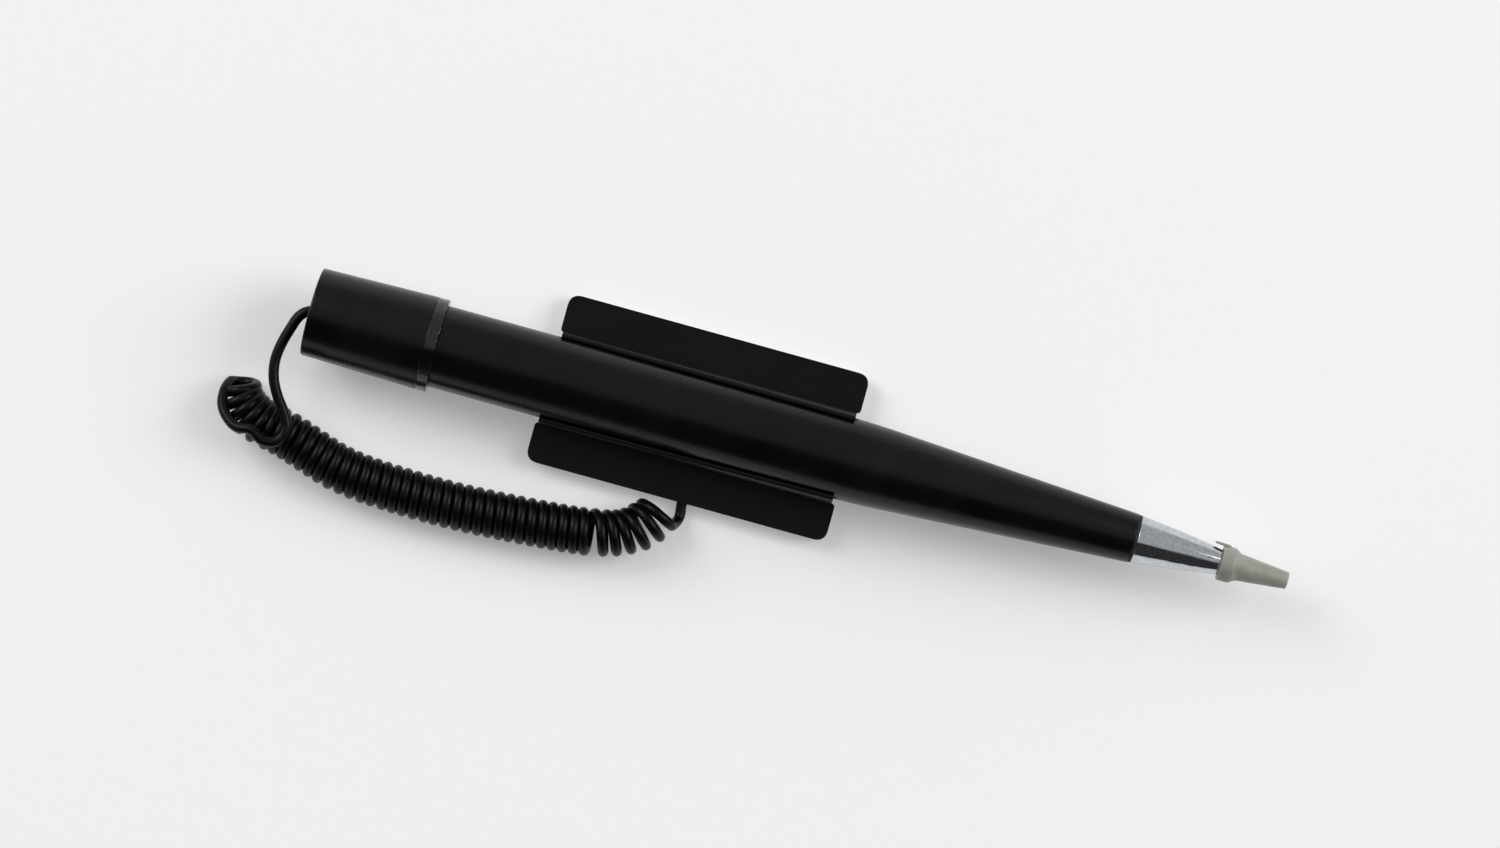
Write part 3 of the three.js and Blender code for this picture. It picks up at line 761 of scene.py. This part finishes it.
bm = bmesh.new()
bm.from_mesh(tipCap.data)
bm.from_mesh(tabMesh(tipSizes))
bm.to_mesh(tipCap.data)
bm.free()
tipCap.data.shade_smooth()
tipCap.data.set_sharp_from_angle(angle=math.radians(40))
standFor(tipCap, "tip_cap", "milky_plastic", "tip_cap")
print("pen turned")


# Holder
holderSizes = {
    "length": 49.7, "width": 27.6, "corner": 2.0, "notchDepth": 0.7, "notchCorner": 0.68,
    "saddleBore": 6.775, "saddleRadius": 7.475, "lipRear": 1.9, "lipFront": 3.1, "lipEase": 0.24,
    "footFillet": 0.15, "edge": 0.28, "padInset": 0.6, "linerInset": 0.3, "plate": 2.0,
    "sink": 0.02,  # how far wings and saddle sink into each other, so that no gap shows
    "wingOverlap": 0.35,  # how far each wing runs on inside the saddle's wall
    "footInset": 0.3,  # how far the saddle's foot stays inside its wall, hidden by the wings
    "footDepth": 0.1,  # and how far under the plate's top it widens
    "channelHalf": 1.15, "pocketHalf": 1.55, "channelX": 1.15, "channelTop": 2.5, "pocketTop": 2.9,
    "pocketFrom": -9.1, "pocketTo": -4.1,
}
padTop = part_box("foam_pad")[1].z / mm
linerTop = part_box("release_liner")[1].z / mm
plateTop = padTop + holderSizes["plate"]
axisZ = penAxisHeight / mm


def roundCorner(points, x, y, came, leaves, radius, steps=8):
    a = Vector((x, y)) + Vector(came) * radius
    b = Vector((x, y)) + Vector(leaves) * radius
    here = Vector((x, y))
    for k in range(steps + 1):
        t = k / steps
        points.append(a.lerp(here, t).lerp(here.lerp(b, t), t))


def plateOutline(inset, sizes):
    # Whole outline of the plate, wings and the stepped middle, drawn in by an inset
    endX = sizes["length"] / 2 - inset
    stepX = endX - sizes["notchDepth"]
    edgeY = sizes["width"] / 2 - inset
    innerY = sizes["saddleRadius"] + inset / 2
    made = []
    big, small = sizes["corner"], sizes["notchCorner"]
    roundCorner(made, endX, -edgeY, (-1, 0), (0, 1), big)
    roundCorner(made, endX, -innerY, (0, -1), (-1, 0), small)
    made.append(Vector((stepX, -innerY)))
    made.append(Vector((stepX, innerY)))
    roundCorner(made, endX, innerY, (-1, 0), (0, 1), small)
    roundCorner(made, endX, edgeY, (0, -1), (-1, 0), big)
    roundCorner(made, -endX, edgeY, (1, 0), (0, -1), big)
    roundCorner(made, -endX, innerY, (0, 1), (1, 0), small)
    made.append(Vector((-stepX, innerY)))
    made.append(Vector((-stepX, -innerY)))
    roundCorner(made, -endX, -innerY, (1, 0), (0, -1), small)
    roundCorner(made, -endX, -edgeY, (0, 1), (1, 0), big)
    return made


def wingOutline(side, sizes):
    # One wing; its inner edge runs on inside the saddle's wall
    endX = sizes["length"] / 2
    edgeY = sizes["width"] / 2
    innerY = sizes["saddleRadius"]
    made = []
    roundCorner(made, endX, edgeY, (0, -1), (-1, 0), sizes["corner"])
    roundCorner(made, -endX, edgeY, (1, 0), (0, -1), sizes["corner"])
    roundCorner(made, -endX, innerY, (0, 1), (1, 0), sizes["notchCorner"])
    stepX = endX - sizes["notchDepth"] - sizes["sink"]
    made.append(Vector((-stepX, innerY)))
    made.append(Vector((-stepX, innerY - sizes["wingOverlap"])))
    made.append(Vector((stepX, innerY - sizes["wingOverlap"])))
    made.append(Vector((stepX, innerY)))
    roundCorner(made, endX, innerY, (-1, 0), (0, 1), sizes["notchCorner"])
    if side < 0:
        made = [Vector((p.x, -p.y)) for p in reversed(made)]
    return made


def slab(outline, bottom, top):
    bm = bmesh.new()
    low = [bm.verts.new((p.x * mm, p.y * mm, bottom * mm)) for p in outline]
    high = [bm.verts.new((p.x * mm, p.y * mm, top * mm)) for p in outline]
    count = len(outline)
    for k in range(count):
        n = (k + 1) % count
        bm.faces.new((low[k], low[n], high[n], high[k]))
    bm.faces.new(low[::-1])
    bm.faces.new(high)
    bmesh.ops.remove_doubles(bm, verts=bm.verts, dist=1e-6)
    bmesh.ops.recalc_face_normals(bm, faces=bm.faces)
    return bm


def saddleMesh(sizes):
    # The trough that the pen snaps into: one section, carried along with rising lips
    end = sizes["length"] / 2 - sizes["notchDepth"]
    bore, outer = sizes["saddleBore"], sizes["saddleRadius"]
    ease, foot = sizes["lipEase"], sizes["footFillet"]
    bm = bmesh.new()
    rows = []
    steps = 32
    for i in range(steps + 1):
        x = -end + 2 * end * i / steps
        rise = sizes["lipRear"] + (sizes["lipFront"] - sizes["lipRear"]) * i / steps
        footHalf = outer - sizes["footInset"]
        half = [Vector((0, padTop)), Vector((footHalf, padTop)),
                Vector((footHalf, plateTop - sizes["footDepth"]))]
        for k in range(5):
            a = math.radians(90 * k / 4)
            half.append(Vector((outer + foot * (1 - math.sin(a)),
                                plateTop + foot * (1 - math.cos(a)) - sizes["sink"])))
        outerTop = math.asin(rise / outer)
        for k in range(8):
            a = (outerTop - ease / outer) * k / 7
            half.append(Vector((outer * math.cos(a), axisZ + outer * math.sin(a))))
        wallOut = Vector((outer * math.cos(outerTop), axisZ + rise))
        innerTop = math.asin(rise / bore)
        wallIn = Vector((bore * math.cos(innerTop), axisZ + rise))
        before = half[-1]
        top = innerTop - ease / bore
        after = Vector((bore * math.cos(top), axisZ + bore * math.sin(top)))
        middle = (wallOut + wallIn) / 2
        for a, here, b in ((before, wallOut, middle), (middle, wallIn, after)):
            for k in range(1, 5):
                t = k / 4
                half.append(a.lerp(here, t).lerp(here.lerp(b, t), t))
        for k in range(1, 33):
            a = top + (-math.pi / 2 - top) * k / 32
            half.append(Vector((bore * math.cos(a), axisZ + bore * math.sin(a))))
        loop = half + [Vector((-p.x, p.y)) for p in reversed(half[1:-1])]
        rows.append([bm.verts.new((x * mm, p.x * mm, p.y * mm)) for p in loop])
    count = len(rows[0])
    for a, b in zip(rows, rows[1:]):
        for k in range(count):
            n = (k + 1) % count
            bm.faces.new((a[k], a[n], b[n], b[k]))
    bm.faces.new(rows[0][::-1])
    bm.faces.new(rows[-1])
    bmesh.ops.recalc_face_normals(bm, faces=bm.faces)
    return bm


def boxMesh(low, high):
    bm = bmesh.new()
    bmesh.ops.create_cube(bm, size=1)
    for v in bm.verts:
        v.co = Vector([(low[k] + (v.co[k] + 0.5) * (high[k] - low[k])) * mm for k in range(3)])
    return bm


def plainObject(bm, name):
    mesh = bpy.data.meshes.new(name)
    bm.to_mesh(mesh)
    bm.free()
    made = bpy.data.objects.new(name, mesh)
    bpy.context.scene.collection.objects.link(made)
    return made


def cutAway(part, cutters):
    for cutter in cutters:
        modifier = part.modifiers.new("cut", "BOOLEAN")
        modifier.operation = "DIFFERENCE"
        modifier.solver = "EXACT"
        modifier.object = cutter
    graph = bpy.context.evaluated_depsgraph_get()
    mesh = bpy.data.meshes.new_from_object(part.evaluated_get(graph))
    part.modifiers.clear()
    part.data = mesh


c = holderSizes
# the two cutters reach a little past the faces that they open
channel = plainObject(boxMesh((c["channelX"] - c["channelHalf"], -c["width"] / 2 - 1, padTop - 1),
                              (c["channelX"] + c["channelHalf"], c["pocketFrom"] + 0.5, c["channelTop"])),
                      "channelCutter")
pocket = plainObject(boxMesh((c["channelX"] - c["pocketHalf"], c["pocketFrom"], padTop - 1),
                             (c["channelX"] + c["pocketHalf"], c["pocketTo"], c["pocketTop"])),
                     "pocketCutter")
parts = [plainObject(slab(wingOutline(1, c), padTop, plateTop), "rearWing"),
         plainObject(slab(wingOutline(-1, c), padTop, plateTop), "frontWing"),
         plainObject(saddleMesh(c), "saddle")]
cutAway(parts[1], [channel, pocket])
cutAway(parts[2], [channel, pocket])
bm = bmesh.new()
for part in parts:
    bm.from_mesh(part.data)
for thing in (*parts, channel, pocket):
    bpy.data.objects.remove(thing)
bmesh.ops.recalc_face_normals(bm, faces=bm.faces)
holder = pieceFrom(bm, "counterHolder", satinBlack, sharpAngle=50)
rounding = holder.modifiers.new("softEdges", "BEVEL")
rounding.width = c["edge"] * mm
rounding.segments = 3
rounding.limit_method = "ANGLE"
rounding.angle_limit = math.radians(50)
rounding.harden_normals = True
standFor(holder, "holder", "moulded_black", "holder")

# Foam pad, slotted for the cord, and the paper over its glue
padLine = plateOutline(c["padInset"], c)
edgeY = -c["width"] / 2 + c["padInset"]
slotLeft = c["channelX"] - c["pocketHalf"]
slotRight = c["channelX"] + c["pocketHalf"]
slot = [Vector((slotLeft, edgeY)), Vector((slotLeft, c["pocketTo"])),
        Vector((slotRight, c["pocketTo"])), Vector((slotRight, edgeY))]
foamPad = pieceFrom(slab(padLine + slot, linerTop, padTop), "foamPad", foam)
standFor(foamPad, "holder", "foam", "foam_pad")
releaseLiner = pieceFrom(slab(plateOutline(c["linerInset"], c), 0.0, linerTop), "releaseLiner", linerPaper)
standFor(releaseLiner, "holder", "liner_paper", "release_liner")
print("holder built")

# Pieces kept from the frame, hidden inside or underneath
keptNodes = {
    "barrel_plug": naturalPlastic, "cartridge_tube": naturalPlastic, "cartridge_plug": naturalPlastic,
    "nib_holder": naturalPlastic, "ink_reservoir": inkFibre, "cap_washer": steel, "cap_ferrule": steel,
    "holder_ferrule": steel,
}
for name, material in keptNodes.items():
    setMaterial(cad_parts[name], material)

# Floor and light
studio = {
    "floorRadius": 3.0,
    "rimHeight": 0.4,
    "floorTop": -0.02 * mm,  # just clear of the liner, so that the two faces don't fight
    "floorGlow": 0.25,  # lit a little from below, like a light table, so that shadows stay soft
    "domeBright": 0.5,  # the soft light from overhead and from the far side
    "domeDark": 0.04,  # and from the near side
    "domeFade": (-0.32, -0.08),  # where the dark gives way to the bright, as the sine of the tilt
    "panels": [
        # name, place, size, power, what it faces
        ("capEndPanel", (-1.8, 0.9, 1.5), (1.3, 1.6), 28.0, (0.0, 0.0, 0.0)),
        ("nibEndPanel", (1.8, 0.9, 1.5), (1.3, 1.6), 28.0, (0.0, 0.0, 0.0)),
    ],
}


def floorMaterial():
    # Matt painted board: pale and even, with a slight roller grain
    material, tree, shader, place = startMaterial("mattPaintedBoard", {
        "IOR": 1.45, "Specular IOR Level": 0.3, "Emission Color": colour("#ffffff"),
        "Emission Strength": studio["floorGlow"]})
    grain = addNode(tree, "TexNoise", {"Scale": patternScale(1.2), "Detail": 3.0}, {"Vector": place})
    tone = addNode(tree, "ValToRGB", links={"Fac": grain.outputs["Fac"]})
    tone.color_ramp.elements[0].color = colour("#e1e1e0")
    tone.color_ramp.elements[1].color = colour("#e6e6e5")
    rough = addNode(tree, "MapRange", {"To Min": 0.8, "To Max": 0.9}, {"Value": grain.outputs["Fac"]})
    tree.links.new(tone.outputs["Color"], shader.inputs["Base Color"])
    tree.links.new(rough.outputs["Result"], shader.inputs["Roughness"])
    return material


def makeFloor(radius, rimHeight, top, sides=64):
    # A round board whose rim curves up, so that low views see no horizon
    bm = bmesh.new()
    level = 0.75  # the share of the radius that is flat
    profile = [(0.0, top), (radius * 0.4, top), (radius * level, top)]
    for k in range(1, 9):
        a = math.radians(90 * k / 8)
        profile.append((radius * (level + (1 - level) * math.sin(a)),
                        top + rimHeight * (1 - math.cos(a))))
    rings = []
    for r, z in profile:
        if r == 0:
            rings.append([bm.verts.new((0, 0, z))])
        else:
            rings.append([bm.verts.new((r * math.cos(2 * math.pi * k / sides),
                                        r * math.sin(2 * math.pi * k / sides), z))
                          for k in range(sides)])
    for a, b in zip(rings, rings[1:]):
        for k in range(sides):
            n = (k + 1) % sides
            bm.faces.new((a[0], b[k], b[n]) if len(a) == 1 else (a[k], b[k], b[n], a[n]))
    return pieceFrom(bm, "studioFloor", floorMaterial())


floor = makeFloor(studio["floorRadius"], studio["rimHeight"], studio["floorTop"])
world = bpy.data.worlds.new("studioWorld")
world.use_nodes = True
sky = world.node_tree
way = addNode(sky, "TexCoord").outputs["Generated"]
split = addNode(sky, "SeparateXYZ", links={"Vector": way})
fadeFrom, fadeTo = studio["domeFade"]
level = addNode(sky, "MapRange", {"From Min": fadeFrom, "From Max": fadeTo, "To Min": studio["domeDark"],
                                  "To Max": studio["domeBright"]}, {"Value": split.outputs["Y"]},
                interpolation_type="SMOOTHSTEP")
sky.links.new(level.outputs["Result"], sky.nodes["Background"].inputs["Strength"])
sky.nodes["Background"].inputs["Color"].default_value = colour("#fbfcff")
bpy.context.scene.world = world
for name, place, size, power, target in studio["panels"]:
    data = bpy.data.lights.new(name, "AREA")
    data.shape = "RECTANGLE"
    data.size, data.size_y = size
    data.energy = power
    lamp = bpy.data.objects.new(name, data)
    lamp.location = place
    lamp.rotation_mode = "QUATERNION"
    lamp.rotation_quaternion = (Vector(place) - Vector(target)).to_track_quat("Z", "Y")
    bpy.context.scene.collection.objects.link(lamp)
bpy.context.scene.view_settings.view_transform = "Standard"
print("studio lit")
